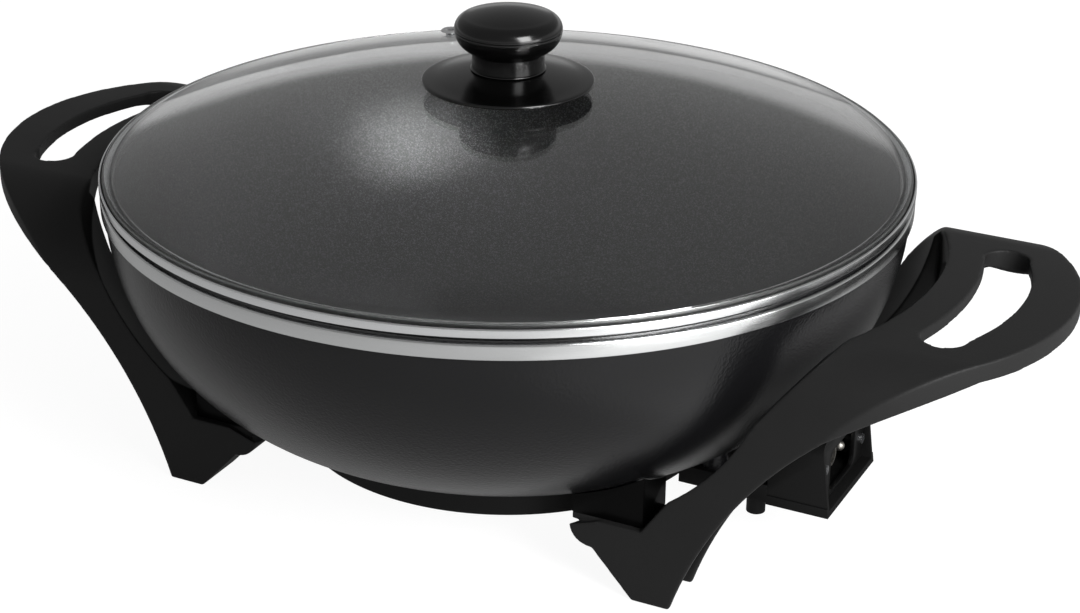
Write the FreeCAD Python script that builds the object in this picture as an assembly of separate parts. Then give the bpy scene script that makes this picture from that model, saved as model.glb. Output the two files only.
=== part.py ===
import FreeCAD, Part
import math
import os

# Electric wok: a cast bowl on two moulded handle-and-leg arches, a heater under its base,
# a probe inlet on the right (+X) and a glass lid that lifts off.
# Millimetres. Origin on the bowl's axis at the plane the feet stand on, +Z up, front is -Y.

V = FreeCAD.Vector
UP = V(0, 0, 1)
AXIS_X = V(1, 0, 0)
AXIS_Y = V(0, 1, 0)

# --- driving dimensions: bowl ---
rim_radius = 180.0            # machined band round the mouth
ground_gap = 31.8             # underside of the bowl above the feet
side_radius = 104.5           # outer curve from the flat base up to the mouth
wall = 4.6                    # cast wall
rim_rise = 5.0                # rim top above the centre of the side curve
band_drop = 1.6               # band's lower edge below that centre
band_step = 1.6               # band stands proud of the coated side
ledge_width = 1.8             # seat for the lid inside the mouth
ledge_depth = 2.0             # seat below the rim top

# --- driving dimensions: lid ---
seat_gap = 0.3                # lid lip above its ledge, and inside the mouth
hem_gap = 2.7                 # lid trim's lower edge above the rim
trim_height = 6.2
trim_overhang = 0.2           # trim beyond the band
sheet = 0.8                   # steel of the trim
trim_lip_inset = 3.0          # top flange of the trim, inwards over the glass
lip_thickness = 1.2
edge_round = 0.71             # share of the sheet at which a 45 degree point of its rounded edge lies
glass = 4.0
dome_rise = 30.8              # crown of the glass above its rim
glass_flat = 3.2              # width of the flat clamped edge
glass_bore = 4.5
vent_from_axis = 124.0
vent_angle = 130.0
vent_flange = 5.0
vent_bore = 1.6
vent_tube = 2.6
vent_plate = 0.9
vent_lower_flange = 4.2
vent_nip = 0.36               # flange seated in the curve of the glass
vent_fit = 0.05

# --- driving dimensions: lid knob ---
knob_radius = 23.75
knob_neck = 16.0
collar_radius = 38.0
collar_edge = 1.5
collar_lift = 4.8             # collar edge above the crown of the glass
collar_cone = 4.6
neck_height = 8.2
flare_height = 9.7
dome_height = 9.1
dome_radius = 60.0            # crown of the knob's cap
dome_shoulder = 18.5          # radius where the crown turns down
dome_bow = 1.5
cap_rim = 3.0
cap_depth = 2.0               # cap let into the knob
cap_joint = 0.05
gasket_radius = 12.0
gasket_height = 1.3
insert_radius = 5.0
insert_length = 14.0
knob_screw = 3.0              # M6, radius
knob_screw_head = 6.2
knob_screw_head_height = 3.4
knob_slot = 1.4               # width and depth of the slot in its head
knob_tail = 3.0               # insert's thread goes on past the screw
insert_inset = 0.2            # insert below the face of its hole
insert_floor = 1.8
insert_fit = 0.02
washer_radius = 11.0
washer_plate = 1.2
washer_step = 1.0             # steel washer within the soft one
collar_web = 2.4              # collar under its top
collar_draft = 1.0
flare_bulge = 2.0             # widest swell of the knob's flare beyond a straight taper
flare_bulge_at = 0.42         # how far up the flare it is

# --- driving dimensions: handle and leg arches ---
arch_half = 95.2              # flat outer face of the legs, from the middle
arch_crown = 1153.0           # long curve across the top
arch_corner = 35.9            # shoulder from the top into a leg
arch_below_rim = 14.6
grip_reach = 77.6             # tip of the grip beyond the rim
grip_radius = 99.1            # outer edge of the grip, seen from above
grip_gap = 18.0               # clear space between rim and grip
inner_edge = 137.0            # radius of the grip's edge on the bowl's side, seen from above
skin = 3.2
leg_depth = 27.5
leg_gap = 12.7                # clear space between the bowl and a leg
grip_depth = 9.0              # outer skirt of the grip
hole_depth = 6.0              # skirt round the grip hole
bar = 15.7                    # between the grip's inner edge and the grip hole
hole_far = 56.0               # outer side of the grip hole, beyond the rim
hole_end_y = 43.2             # middle of the round ends
hole_end_radius = 9.6
foot_outer = 55.6             # foot edges, inwards from the rim
foot_inner = 72.7
foot_reveal = 0.3             # moulding above the rubber's underside
shoulder_out = 7.0            # outer edge where leg meets grip, beyond the rim
shoulder_z = 94.0
leg_bow = 8.2                 # hollow curve of the leg's outer edge
under_grip_out = 57.0         # underside of the grip, beyond the rim
under_grip_drop = 10.0        # below the arch top
under_grip_bow = 1.7
tip_drop = 9.4
shelf_top = 34.0
shelf_bottom = 30.6
shelf_end = 102.0             # inner end of the bracket shelf, inwards from the rim
knee_in = 69.5                # inner edge of the leg at the shelf
toe_z = 28.8
heel_in = 91.6
heel_z = 20.8
heel_bow = 2.5
throat_in = 20.0              # inner edge of the leg under the grip
throat_z = 98.5
throat_bow = 1.0
inner_bow = 1.5
throat_top_out = 5.0          # where that edge meets the top of the arch, beyond the rim
foot_depth = 19.0
foot_inset = 3.0              # solid part of the foot behind the leg's outer edge
foot_block_top = 12.0
pad_height = 6.0              # rubber plug in the foot
pad_wall = 1.5
pad_draft = 0.3
over = 20.0                   # cutting shapes reach this far past what they cut

# --- driving dimensions: brackets and their screws ---
bracket_wall = 2.5
bracket_gap = 0.5             # bracket below the bowl
bracket_back = 68.0
bracket_inset = 3.4           # bracket behind the leg's face
bracket_joint = 0.3           # between a bracket and the leg's inner edge
lug_radius = 6.5
lug_in = 84.0                 # screw centre, inwards from the rim
lug_y = 79.5
screw_radius = 2.5
screw_roof = 0.4              # metal left between a leg screw's hole and the bowl's outer curve
thread_fit = 0.05             # a screw's thread within its hole
screw_tail = 2.0              # hole goes on past the screw's end
head_radius = 4.6
head_height = 2.6
head_pocket = 7.5             # room for a screw head under its shelf
head_pocket_depth = 9.0
clear = 0.25                  # radial clearance round a screw
washer_radius_out = 5.6
washer_t = 1.0

# --- driving dimensions: base and heater ---
ring_in = 83.5                # outside of the base ring, inwards from the rim
ring_wall = 2.0
ring_z = 20.1
ring_lip = 7.5
ring_lip_t = 1.9
ring_gap = 0.15
cover_t = 1.2
cover_gap = 0.5
cover_screw_in = 135.0        # screw circle, inwards from the rim
cover_screw_count = 3
cover_screw_start = 60.0      # first screw, degrees from +X
cover_screw_r = 1.5
cover_head_r = 4.0
cover_head_h = 1.6
cover_boss_r = 4.5
cover_bite = 7.0              # screw hole above the cover
vent_slot_r = 2.5
vent_circle_in = 118.0        # circle of vent holes, inwards from the rim
vent_count = 12
heater_ring_in = 110.0        # middle of the tube, inwards from the rim
heater_tube = 3.5
heater_leg_y = 10.5
heater_bend_in = 81.0         # where its ends turn up
heater_room = 1.2             # round the tube where it leaves the base ring
heater_notch_sill = 1.5       # floor of that notch above the cover
heater_notch_depth = 5.0

# --- driving dimensions: probe inlet ---
inlet_mouth_in = 10.5         # lower edge of the shroud's mouth, inwards from the rim
inlet_lean = 4.5              # its upper edge set back from the lower one
inlet_back_in = 39.0          # back wall of the shroud, inwards from the rim
inlet_half = 29.6
inlet_bottom = 22.6
inlet_top = 56.0
inlet_wall = 2.6
inlet_skirt = 0.8             # skirt round the lower edge stands proud of the walls
inlet_skirt_z = 27.0
inlet_floor = 2.6
inlet_recess = 5.0            # face plate behind the lower edge of the mouth
inlet_plate = 2.0
inlet_axis_z = 37.0
inlet_window_half = 15.5
inlet_window_height = 20.0
window_corner = 4.0
inlet_screw_y = 23.5
inlet_screw_z = 39.1          # middle of the two screws
inlet_screw_skew = 3.3        # front one above it, back one below
inlet_screw_r = 1.6
inlet_head_r = 2.3
inlet_head_h = 1.2
inlet_post_r = 3.6
tongue_t = 2.4
tongue_in = 16.0
tongue_root_in = 80.0         # inner end of the tongues, inwards from the rim
flange_z = 23.5               # lower edge of the shroud's side flanges
foot_post_r = 4.2             # round stop under the back of the shroud
foot_post_in = 46.0
foot_post_y = 22.5
foot_post_z = 14.5
shroud_corner = 5.0
shroud_lug_in = 67.0          # screw centre, inwards from the rim
shroud_lug_y = 21.0
shroud_screw_r = 2.0
shroud_bite = 7.0
plate_fit = 0.2               # inlet plate in its mouth, and its screws in their holes
inlet_screw_length = 10.0
inlet_slot_half = 0.3
inlet_slot_depth = 0.6
pin_radius = 2.4
pin_shank = 2.0               # pin where it passes through its bead
pin_behind = 4.0              # heater's end behind the shroud's back wall
pin_out = 15.0
bead_radius = 5.0
bead_flange = 5.4
bead_t = 3.0
bead_fit = 0.1                # bead in the shroud's back wall
pin_fit = 0.05                # pin in its bead
well_radius = 4.5
well_bore = 3.3
well_end_in = 20.0            # open end of the probe well, inwards from the rim
well_root_in = 53.0           # outer face of its block
well_block_half = 6.5
well_block = 9.0
well_seat = 5.4               # tube let into its block
well_floor = 2.0              # closed end of the tube
well_fit = 0.2
earth_t = 0.8
earth_gap = 1.0               # strip's end clear of the boss
earth_width = 6.0

# --- worked out from the above ---
curve_z = ground_gap + side_radius
rim_z = curve_z + rim_rise
band_z = curve_z - band_drop
flat_radius = rim_radius - band_step - math.sqrt(side_radius ** 2 - band_drop ** 2)
ledge_z = rim_z - ledge_depth
inner_radius = side_radius - wall
inner_mouth = flat_radius + math.sqrt(inner_radius ** 2 - (ledge_z - curve_z) ** 2)
ledge_radius = inner_mouth + ledge_width
trim_z = rim_z + hem_gap
trim_top = trim_z + trim_height
trim_radius = rim_radius + trim_overhang
glass_top_edge = trim_top - sheet
crown_z = glass_top_edge + dome_rise
arch_top = rim_z - arch_below_rim
ring_radius = rim_radius - ring_in
cover_screw_circle = rim_radius - cover_screw_in
vent_circle = rim_radius - vent_circle_in
heater_ring = rim_radius - heater_ring_in
heater_bend_x = rim_radius - heater_bend_in
inlet_reach = rim_radius - inlet_mouth_in
inlet_back = rim_radius - inlet_back_in
tongue_root = rim_radius - tongue_root_in
foot_post_x = rim_radius - foot_post_in
shroud_lug_x = rim_radius - shroud_lug_in
well_end = rim_radius - well_end_in
well_root = rim_radius - well_root_in
grip_centre = rim_radius + grip_reach - grip_radius


def circle_z(radius, centre_r, centre_z, r):
    """Height of the lower half of a circle at distance r from the axis."""
    return centre_z - math.sqrt(radius ** 2 - (r - centre_r) ** 2)


def bowl_under(r):
    """Height of the bowl's underside at radius r."""
    if r <= flat_radius:
        return ground_gap
    return circle_z(side_radius, flat_radius, curve_z, r)


def on_circle(cx, cz, radius, degrees):
    a = math.radians(degrees)
    return (cx + radius * math.cos(a), cz + radius * math.sin(a))


def outline(path, place):
    """Closed wire through (u, v) points; a pair of points is an arc, by its middle and its end."""
    edges = []
    start = path[0]
    steps = list(path[1:])
    last = steps[-1]
    if path[0] not in (last, last[-1]):
        steps.append(start)
    for step in steps:
        if isinstance(step[0], tuple):
            middle, end = step
            edges.append(Part.Arc(place(*start), place(*middle), place(*end)).toShape())
        else:
            end = step
            edges.append(Part.LineSegment(place(*start), place(*end)).toShape())
        start = end
    return Part.Wire(edges)


def turned(path):
    """Solid of revolution about Z from a closed (radius, height) outline."""
    face = Part.Face(outline(path, lambda r, z: V(r, 0, z)))
    return face.revolve(V(0, 0, 0), UP, 360)


def front_prism(path, y0, y1):
    face = Part.Face(outline(path, lambda x, z: V(x, y0, z)))
    return face.extrude(V(0, y1 - y0, 0))


def plan_prism(path, z0, z1):
    face = Part.Face(outline(path, lambda x, y: V(x, y, z0)))
    return face.extrude(V(0, 0, z1 - z0))


def side_prism(path, x0, x1):
    face = Part.Face(outline(path, lambda y, z: V(x0, y, z)))
    return face.extrude(V(x1 - x0, 0, 0))


def box(x0, x1, y0, y1, z0, z1):
    return Part.makeBox(x1 - x0, y1 - y0, z1 - z0, V(x0, y0, z0))


def rod(radius, x, y, z0, z1):
    return Part.makeCylinder(radius, z1 - z0, V(x, y, z0), UP)


def rod_x(radius, y, z, x0, x1):
    return Part.makeCylinder(radius, x1 - x0, V(x0, y, z), AXIS_X)


def mirrored_x(shape):
    return shape.mirror(V(0, 0, 0), AXIS_X)


def mirrored_y(shape):
    return shape.mirror(V(0, 0, 0), AXIS_Y)


def corners():
    """The four foot corners as (sign of x, sign of y)."""
    return [(sx, sy) for sx in (1, -1) for sy in (-1, 1)]


def placed(shape, sx, sy):
    """A piece made at the right front corner, carried to another corner by mirroring."""
    if sx < 0:
        shape = mirrored_x(shape)
    if sy > 0:
        shape = mirrored_y(shape)
    return shape


# --- bowl ---
def side_arc(radius, top_z):
    """Middle and end points of the side curve, from the flat base up to top_z."""
    end = math.degrees(math.asin((top_z - curve_z) / radius))
    middle = (end - 90.0) / 2.0
    return (on_circle(flat_radius, curve_z, radius, middle),
            on_circle(flat_radius, curve_z, radius, end))


def bowl_shell():
    inner_floor = curve_z - inner_radius
    down = side_arc(inner_radius, ledge_z)
    return turned([
        (0, ground_gap),
        (flat_radius, ground_gap),
        side_arc(side_radius, band_z),
        (rim_radius, band_z),
        (rim_radius, rim_z),
        (ledge_radius, rim_z),
        (ledge_radius, ledge_z),
        down[1],
        (down[0], (flat_radius, inner_floor)),
        (0, inner_floor),
    ])


def bowl_space(offset):
    """Everything inside the bowl's outer curve grown by offset, up to the rim."""
    radius = side_radius + offset
    return turned([
        (0, curve_z - radius),
        (flat_radius, curve_z - radius),
        side_arc(radius, band_z),
        (flat_radius + radius, rim_z + 1),
        (0, rim_z + 1),
    ])


def lug(radius, x, y, z0, bore, bore_depth):
    """Cast boss from z0 up into the bowl's wall, with a blind screw hole."""
    reach = bowl_under(math.hypot(x, y) + radius) + wall
    post = rod(radius, x, y, z0, reach).cut(bowl_space(-wall / 2.0))
    return post.cut(rod(bore, x, y, z0 - 1, z0 + bore_depth))


def lug_floor():
    return shelf_top + bracket_wall


def leg_bite():
    """Depth of a leg screw's hole, up to just under the bowl's outer curve."""
    return bowl_under(math.hypot(rim_radius - lug_in, lug_y)) - screw_roof - lug_floor()


def cover_screw_places():
    turn = 360.0 / cover_screw_count
    return [on_circle(0, 0, cover_screw_circle, cover_screw_start + turn * i)
            for i in range(cover_screw_count)]


def cover_boss(x, y):
    """Cast boss that the base cover is screwed to."""
    post = rod(cover_boss_r, x, y, cover_top(), ground_gap + wall / 2.0)
    return post.cut(rod(cover_screw_r, x, y, cover_top() - 1, cover_top() + cover_bite))


def well_block_piece():
    """Cast block under the bowl that holds the end of the probe well."""
    block = box(well_root - well_block, well_root, -well_block_half, well_block_half,
                inlet_axis_z - well_block_half, bowl_under(well_root) + wall)
    block = block.cut(bowl_space(-wall / 2.0))
    return block.cut(rod_x(well_radius, 0, inlet_axis_z, well_root - well_seat, well_root + 1))


def wok_pan():
    pan = bowl_shell()
    for sx, sy in corners():
        x = sx * (rim_radius - lug_in)
        pan = pan.fuse(lug(lug_radius, x, sy * lug_y, lug_floor(), screw_radius, leg_bite()))
    for sy in (-1, 1):
        y = sy * shroud_lug_y
        pan = pan.fuse(lug(lug_radius, shroud_lug_x, y, tongue_top(), shroud_screw_r, shroud_bite))
    for x, y in cover_screw_places():
        pan = pan.fuse(cover_boss(x, y))
    return pan.fuse(well_block_piece()).removeSplitter()


# --- base ---
def cover_bottom():
    return ring_z + ring_lip_t


def cover_top():
    return cover_bottom() + cover_t


def base_ring():
    inner = ring_radius - ring_wall
    top = bowl_under(inner) - ring_gap
    ring = turned([
        (ring_radius, ring_z),
        (ring_radius, top),
        (inner, top),
        (inner, cover_bottom()),
        (ring_radius - ring_lip, cover_bottom()),
        (ring_radius - ring_lip, ring_z),
    ])
    room = heater_tube + heater_room
    sill = cover_bottom() + heater_notch_sill
    for sy in (-1, 1):
        y = sy * heater_leg_y
        ring = ring.cut(box(ring_radius - heater_notch_depth, ring_radius + 1, y - room, y + room,
                            sill, top + 1))
    return ring


def base_cover():
    cover = rod(ring_radius - ring_wall - cover_gap, 0, 0, cover_bottom(), cover_top())
    for x, y in cover_screw_places():
        cover = cover.cut(rod(cover_screw_r + clear, x, y, cover_bottom() - 1, cover_top() + 1))
    for i in range(vent_count):
        x, y = on_circle(0, 0, vent_circle, 360.0 * (i + 0.5) / vent_count)
        cover = cover.cut(rod(vent_slot_r, x, y, cover_bottom() - 1, cover_top() + 1))
    return cover


def cover_screws():
    screws = []
    for x, y in cover_screw_places():
        head = rod(cover_head_r, x, y, cover_bottom() - cover_head_h, cover_bottom())
        shank = rod(cover_screw_r, x, y, cover_bottom(), cover_top() + cover_bite - screw_tail)
        screws.append(head.fuse(shank))
    return Part.makeCompound(screws)


def heater_z():
    return ground_gap - heater_tube


def heating_element():
    """Round tube under the flat base, open on the right, where both ends rise to the inlet."""
    z = heater_z()
    x_end = math.sqrt(heater_ring ** 2 - heater_leg_y ** 2)
    start = math.degrees(math.asin(heater_leg_y / heater_ring))
    disc = Part.Face(Part.Wire(Part.makeCircle(heater_tube, V(x_end, heater_leg_y, z),
                                               V(-heater_leg_y, x_end, 0))))
    tube = disc.revolve(V(0, 0, 0), UP, 360.0 - 2.0 * start)
    for sy in (-1, 1):
        y = sy * heater_leg_y
        bend = V(heater_bend_x, y, z)
        end = V(pin_root(), y, inlet_axis_z)
        rise = end.sub(bend)
        tube = tube.fuse(Part.makeSphere(heater_tube, V(x_end, y, z)))
        tube = tube.fuse(rod_x(heater_tube, y, z, x_end, heater_bend_x))
        tube = tube.fuse(Part.makeSphere(heater_tube, bend))
        tube = tube.fuse(Part.makeCylinder(heater_tube, rise.Length, bend, rise))
        tube = tube.fuse(Part.makeSphere(heater_tube, end))
    return tube


# --- probe inlet ---
def tongue_top():
    return ground_gap


def pin_root():
    return inlet_back - heater_tube - pin_behind


def plate_x():
    return inlet_reach - inlet_recess - inlet_plate


def lengthwise(shape):
    """Edges of a shape that run along X."""
    return [e for e in shape.Edges if abs(e.tangentAt(e.FirstParameter).x) > 0.9]


def screw_spot(sy):
    """Where a screw sits on the inlet plate, as (y, z)."""
    return (sy * inlet_screw_y, inlet_screw_z - sy * inlet_screw_skew)


def leaning_box(half, top):
    """Box from the shroud's back wall to its leaning mouth, up to a height."""
    tilt = inlet_lean / (inlet_top - inlet_bottom)
    path = [
        (inlet_back, inlet_bottom),
        (inlet_reach, inlet_bottom),
        (inlet_reach - tilt * (top - inlet_bottom), top),
        (inlet_back, top),
    ]
    return front_prism(path, -half, half)


def shroud_box():
    """Open box round the pins, its two upper corners rounded, with a skirt round its lower edge."""
    outer = leaning_box(inlet_half - inlet_skirt, inlet_top)
    upper = [e for e in lengthwise(outer) if e.CenterOfMass.z > inlet_axis_z]
    outer = outer.makeFillet(shroud_corner, upper).fuse(leaning_box(inlet_half, inlet_skirt_z))
    side = inlet_half - inlet_wall
    inner = box(inlet_back + inlet_wall, inlet_reach + 1, -side, side,
                inlet_bottom + inlet_floor, inlet_top - inlet_wall)
    return outer.cut(inner)


def shroud_tongue(sy):
    """Flat arm back to the bowl's boss, with a side flange, a round stop and a screw hole."""
    z = tongue_top()
    y0, y1 = sorted((sy * tongue_in, sy * (inlet_half - inlet_wall / 2.0)))
    edge0, edge1 = sorted((sy * (inlet_half - inlet_wall), sy * inlet_half))
    tongue = box(tongue_root, inlet_back, y0, y1, z - tongue_t, z)
    tongue = tongue.fuse(box(tongue_root, inlet_back, edge0, edge1, flange_z, z))
    tongue = tongue.fuse(rod(foot_post_r, foot_post_x, sy * foot_post_y, foot_post_z, z))
    hole = rod(shroud_screw_r + clear, shroud_lug_x, sy * shroud_lug_y, z - tongue_t - 1, z + 1)
    return tongue.cut(hole)


def connector_shroud():
    shroud = shroud_box()
    through = inlet_back + inlet_wall + 1
    for sy in (-1, 1):
        y, z = screw_spot(sy)
        shroud = shroud.fuse(shroud_tongue(sy))
        shroud = shroud.fuse(rod_x(inlet_post_r, y, z, inlet_back, plate_x()))
        bite = plate_x() - inlet_screw_length
        shroud = shroud.cut(rod_x(inlet_screw_r, y, z, bite, plate_x() + 1))
        bead_hole = rod_x(bead_radius + bead_fit, sy * heater_leg_y, inlet_axis_z, inlet_back - 1, through)
        shroud = shroud.cut(bead_hole)
    shroud = shroud.cut(rod_x(well_radius + well_fit, 0, inlet_axis_z, inlet_back - 1, through))
    return shroud.removeSplitter()


def shroud_screws():
    screws = []
    z = tongue_top() - tongue_t
    end = tongue_top() + shroud_bite - screw_tail
    for sy in (-1, 1):
        head = rod(head_radius, shroud_lug_x, sy * shroud_lug_y, z - head_height, z)
        shank = rod(shroud_screw_r - thread_fit, shroud_lug_x, sy * shroud_lug_y, z, end)
        screws.append(head.fuse(shank))
    return Part.makeCompound(screws)


def window():
    """Opening in the inlet plate that the plug's nose goes through."""
    z0 = inlet_axis_z - inlet_window_height / 2.0
    cut = box(plate_x() - 1, plate_x() + inlet_plate + 1, -inlet_window_half, inlet_window_half,
              z0, z0 + inlet_window_height)
    return cut.makeFillet(window_corner, lengthwise(cut))


def inlet_face_plate():
    half = inlet_half - inlet_wall - plate_fit
    face = plate_x() + inlet_plate
    plate = box(plate_x(), face, -half, half, inlet_bottom + inlet_floor + plate_fit,
                inlet_top - inlet_wall - plate_fit)
    plate = plate.cut(window())
    for sy in (-1, 1):
        y, z = screw_spot(sy)
        plate = plate.cut(rod_x(inlet_screw_r + plate_fit, y, z, plate_x() - 1, face + 1))
    return plate


def inlet_screws():
    screws = []
    face = plate_x() + inlet_plate
    top = face + inlet_head_h
    for sy in (-1, 1):
        y, z = screw_spot(sy)
        head = rod_x(inlet_head_r, y, z, face, top)
        shank = rod_x(inlet_screw_r - thread_fit, y, z, face - inlet_screw_length, face)
        slot = box(top - inlet_slot_depth, top + 1, y - inlet_slot_half, y + inlet_slot_half,
                   z - inlet_head_r, z + inlet_head_r)
        screws.append(head.fuse(shank).cut(slot))
    return Part.makeCompound(screws)


def terminal_pin(sy):
    """Round contact pin that the plug slides over, on a thinner shank through its ceramic bead."""
    y = sy * heater_leg_y
    z = inlet_axis_z
    front = inlet_back + inlet_wall + bead_t
    end = front + pin_out - pin_radius
    shank = rod_x(pin_shank, y, z, pin_root() + heater_tube, front)
    return shank.fuse(rod_x(pin_radius, y, z, front, end)).fuse(Part.makeSphere(pin_radius, V(end, y, z)))


def insulator(sy):
    """Ceramic bead that carries a pin through the shroud's back wall."""
    y = sy * heater_leg_y
    front = inlet_back + inlet_wall
    back = inlet_back - bead_t
    barrel = rod_x(bead_radius, y, inlet_axis_z, back, front)
    flange = rod_x(bead_flange, y, inlet_axis_z, front, front + bead_t)
    hole = rod_x(pin_shank + pin_fit, y, inlet_axis_z, back - 1, front + bead_t + 1)
    return barrel.fuse(flange).cut(hole)


def probe_well():
    root = well_root - well_seat
    tube = rod_x(well_radius, 0, inlet_axis_z, root, well_end)
    return tube.cut(rod_x(well_bore, 0, inlet_axis_z, root + well_floor, well_end + 1))


def earth_strip():
    """Flat strip on a tongue of the shroud, turned up against its back wall."""
    y0 = shroud_lug_y - earth_width / 2.0
    y1 = y0 + earth_width
    z = tongue_top()
    x0 = shroud_lug_x + lug_radius + earth_gap
    flat = box(x0, inlet_back, y0, y1, z, z + earth_t)
    return flat.fuse(box(inlet_back - earth_t, inlet_back, y0, y1, z, z + earth_width))


# --- handles with legs ---
def arch_face(half, top, corner, bottom):
    """Outline across the handle: a gently crowned top, round shoulders, upright sides."""
    crown_centre = top - arch_crown
    y_c = half - corner
    z_c = crown_centre + math.sqrt((arch_crown - corner) ** 2 - y_c ** 2)
    turn = math.degrees(math.atan2(z_c - crown_centre, y_c))
    join = on_circle(0, crown_centre, arch_crown, turn)
    mid = on_circle(y_c, z_c, corner, turn / 2.0)
    return [
        (half, bottom),
        (half, z_c),
        (mid, join),
        ((0, top), (-join[0], join[1])),
        ((-mid[0], mid[1]), (-half, z_c)),
        (-half, bottom),
    ]


def arc_through(a, b, bulge):
    """Middle point of an arc from a to b that stands bulge to the left of the line."""
    dx = b[0] - a[0]
    dz = b[1] - a[1]
    length = math.hypot(dx, dz)
    return ((a[0] + b[0]) / 2.0 - dz / length * bulge, (a[1] + b[1]) / 2.0 + dx / length * bulge)


def outer_edge():
    """From the outside corner of the foot up the leg and along the grip to above its tip."""
    foot = (rim_radius - foot_outer, foot_reveal)
    shoulder = (rim_radius + shoulder_out, shoulder_z)
    under_grip = (rim_radius + under_grip_out, arch_top - under_grip_drop)
    past_tip = rim_radius + grip_reach + over
    return [
        foot,
        (arc_through(foot, shoulder, leg_bow), shoulder),
        (arc_through(shoulder, under_grip, under_grip_bow), under_grip),
        (past_tip, arch_top - tip_drop),
        (past_tip, arch_top + over),
    ]


def leg_outline():
    """Handle seen from the front: foot, slanting leg, bracket shelf and grip."""
    throat_top = (rim_radius + throat_top_out, arch_top)
    throat = (rim_radius - throat_in, throat_z)
    knee = (rim_radius - knee_in, shelf_top)
    toe = (rim_radius - shelf_end, toe_z)
    heel = (rim_radius - heel_in, heel_z)
    return [(rim_radius - foot_inner, foot_reveal)] + outer_edge() + [
        (throat_top[0] + over, arch_top + over),
        throat_top,
        (arc_through(throat_top, throat, -throat_bow), throat),
        (arc_through(throat, knee, -inner_bow), knee),
        (rim_radius - shelf_end, shelf_top),
        toe,
        (arc_through(toe, heel, -heel_bow), heel),
    ]


def grip_hole(grow):
    """Bean-shaped hole for the fingers, seen from above, with round ends."""
    radius = inner_edge + bar - grow
    near = inner_edge_centre() + math.sqrt(radius ** 2 - hole_end_y ** 2)
    end = hole_end_radius + grow
    middle = near + end
    return plan_prism([
        (near, hole_end_y),
        ((inner_edge_centre() + radius, 0), (near, -hole_end_y)),
        ((middle, -hole_end_y - end), (middle + end, -hole_end_y)),
        ((rim_radius + hole_far + grow, 0), (middle + end, hole_end_y)),
        ((middle, hole_end_y + end), (near, hole_end_y)),
    ], arch_top - leg_depth, arch_top + over)


def upright(radius, centre_x, z0):
    """Cylinder about an upright line on the handle's middle plane, from z0 to above the arch."""
    return Part.makeCylinder(radius, arch_top + over - z0, V(centre_x, 0, z0), UP)


def inner_edge_centre():
    return rim_radius + grip_gap - inner_edge


def grip_plan(shrink):
    """Everything within the grip's outer edge and outside the space kept clear round the bowl."""
    half = arch_half - leg_depth
    keep = upright(grip_radius - shrink, grip_centre, -over)
    keep = keep.fuse(box(0, grip_centre, -arch_half - over, arch_half + over, -over, arch_top + over))
    space = upright(inner_edge + shrink, inner_edge_centre(), -over)
    between = box(0, rim_radius + grip_reach, -half - shrink, half + shrink, -over, arch_top + over)
    return keep.cut(space.common(between))


def arch_prism(inset, drop, corner):
    """The arch filled solid, its sides and top inset, along the whole length of a handle."""
    return side_prism(arch_face(arch_half - inset, arch_top - drop, corner, -over), 0,
                      rim_radius + grip_reach + over)


def foot_block(front):
    """Solid part of a foot that carries the rubber pad, set back from the leg's outer edge."""
    set_back = front.copy()
    set_back.translate(V(-foot_inset, 0, 0))
    room = box(0, rim_radius, -arch_half + skin, -arch_half + foot_depth, foot_reveal, foot_block_top)
    return front.common(set_back).common(room).cut(foot_pad())


def handle_right():
    """Thin outer panels and top with a skirt, a deeper wall along the bowl, shelves and feet."""
    y0 = -arch_half - over
    front = front_prism(leg_outline(), y0, -y0)
    under = arch_prism(leg_depth, grip_depth, arch_corner - grip_depth)
    inner_under = arch_prism(leg_depth, hole_depth, arch_corner - hole_depth).common(grip_plan(skin))
    body = front.common(arch_prism(0, 0, arch_corner)).common(grip_plan(0))
    body = body.cut(under).cut(inner_under).cut(bowl_space(leg_gap))
    hollow = front.copy()
    hollow.translate(V(skin, 0, 0))
    hollow = hollow.common(arch_prism(skin, skin, arch_corner - skin)).common(grip_plan(skin))
    body = body.cut(hollow.cut(bowl_space(leg_gap + skin)).cut(grip_hole(skin))).cut(grip_hole(0))
    x_lug = rim_radius - lug_in
    for sy in (-1, 1):
        y_a, y_b = sorted((sy * (arch_half - skin), sy * bracket_back))
        body = body.fuse(box(rim_radius - shelf_end, rim_radius - knee_in + skin, y_a, y_b,
                             shelf_bottom, shelf_top))
        body = body.cut(rod(screw_radius + clear, x_lug, sy * lug_y, shelf_bottom - 1, shelf_top + 1))
        body = body.cut(rod(head_pocket, x_lug, sy * lug_y, shelf_bottom - head_pocket_depth, shelf_bottom))
        body = body.fuse(placed(foot_block(front), 1, sy))
    return body


def bracket():
    """Open-topped steel box between the shelf and the bowl, right front corner."""
    x0 = rim_radius - shelf_end
    x1 = rim_radius - knee_in - bracket_joint
    y0 = -arch_half + bracket_inset
    y1 = -bracket_back
    floor = shelf_top + bracket_wall
    block = box(x0, x1, y0, y1, shelf_top, curve_z)
    inside = box(x0 + bracket_wall, x1 - bracket_wall, y0 + bracket_wall, y1 + over, floor, curve_z)
    block = block.cut(inside)
    shell = block.cut(bowl_space(bracket_gap))
    return shell.cut(rod(screw_radius + clear, rim_radius - lug_in, -lug_y, shelf_top - 1, floor + 1))


def leg_screws():
    screws = []
    z = shelf_bottom - washer_t
    for sx, sy in corners():
        x = rim_radius - lug_in
        head = rod(head_radius, x, -lug_y, z - head_height, z)
        shank = rod(screw_radius - thread_fit, x, -lug_y, z, lug_floor() + leg_bite() - screw_tail)
        screws.append(placed(head.fuse(shank), sx, sy))
    return Part.makeCompound(screws)


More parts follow.
